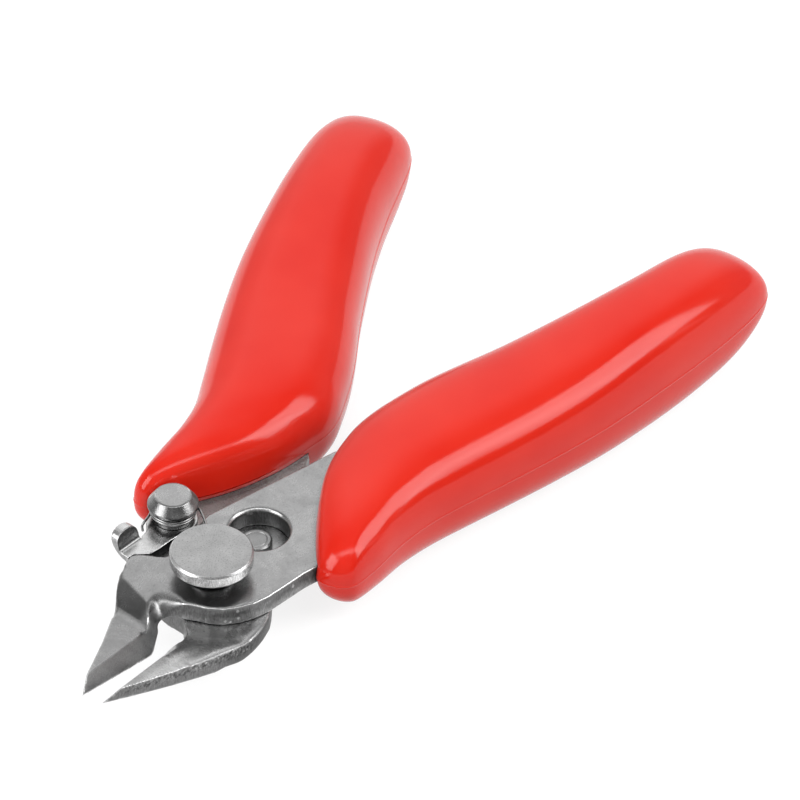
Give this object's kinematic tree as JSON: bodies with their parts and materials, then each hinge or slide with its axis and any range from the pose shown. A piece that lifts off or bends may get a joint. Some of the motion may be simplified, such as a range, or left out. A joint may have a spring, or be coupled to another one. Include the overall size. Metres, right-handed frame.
{
  "type": "flush cutter",
  "caption": "Small spring-opened flush cutter with angled jaws, headed pivot, thumb latch and red moulded grips, for trimming component leads and fine wire.",
  "frame": {"origin": "the centre of the pivot head's flat top, on the pivot axis", "axes": "+X from the pivot along the handles, +Y towards the latch side, +Z along the pivot through its head; the jaws point to -X"},
  "size_m": [0.0887, 0.0491, 0.0125],
  "materials": {
    "plate_steel": "satin ground faces, rougher pressed edges",
    "rivet_steel": "turned, lightly frosted",
    "spring_wire": "bright drawn wire",
    "latch_steel": "pressed sheet, tumbled",
    "grip_vinyl": "glossy soft red vinyl"
  },
  "bodies": {
    "lower_body": {"lower_half": "plate_steel", "latch_side_grip": "grip_vinyl", "pivot_rivet": "rivet_steel", "return_spring": "spring_wire", "stop_pin": "rivet_steel", "latch_post": "rivet_steel", "latch_spring": "spring_wire"},
    "upper_body": {"upper_half": "plate_steel", "window_side_grip": "grip_vinyl"},
    "latch": {"latch_lever": "latch_steel"}
  },
  "joints": [
    {"name": "jaw_pivot", "type": "hinge", "parent": "lower_body", "child": "upper_body", "pos_m": [0, 0, -0.005], "axis": [0, 0, 1], "range_deg": [-5, 4.9], "stiffness_Nm_per_rad": 0.6, "deforming": ["return_spring"]},
    {"name": "latch_swing", "type": "hinge", "parent": "lower_body", "child": "latch", "pos_m": [0.00615, 0.00777, -0.005], "axis": [0, 0, 1], "range_deg": [-20, 2], "stiffness_Nm_per_rad": 0.003, "deforming": ["latch_spring"]}
  ]
}
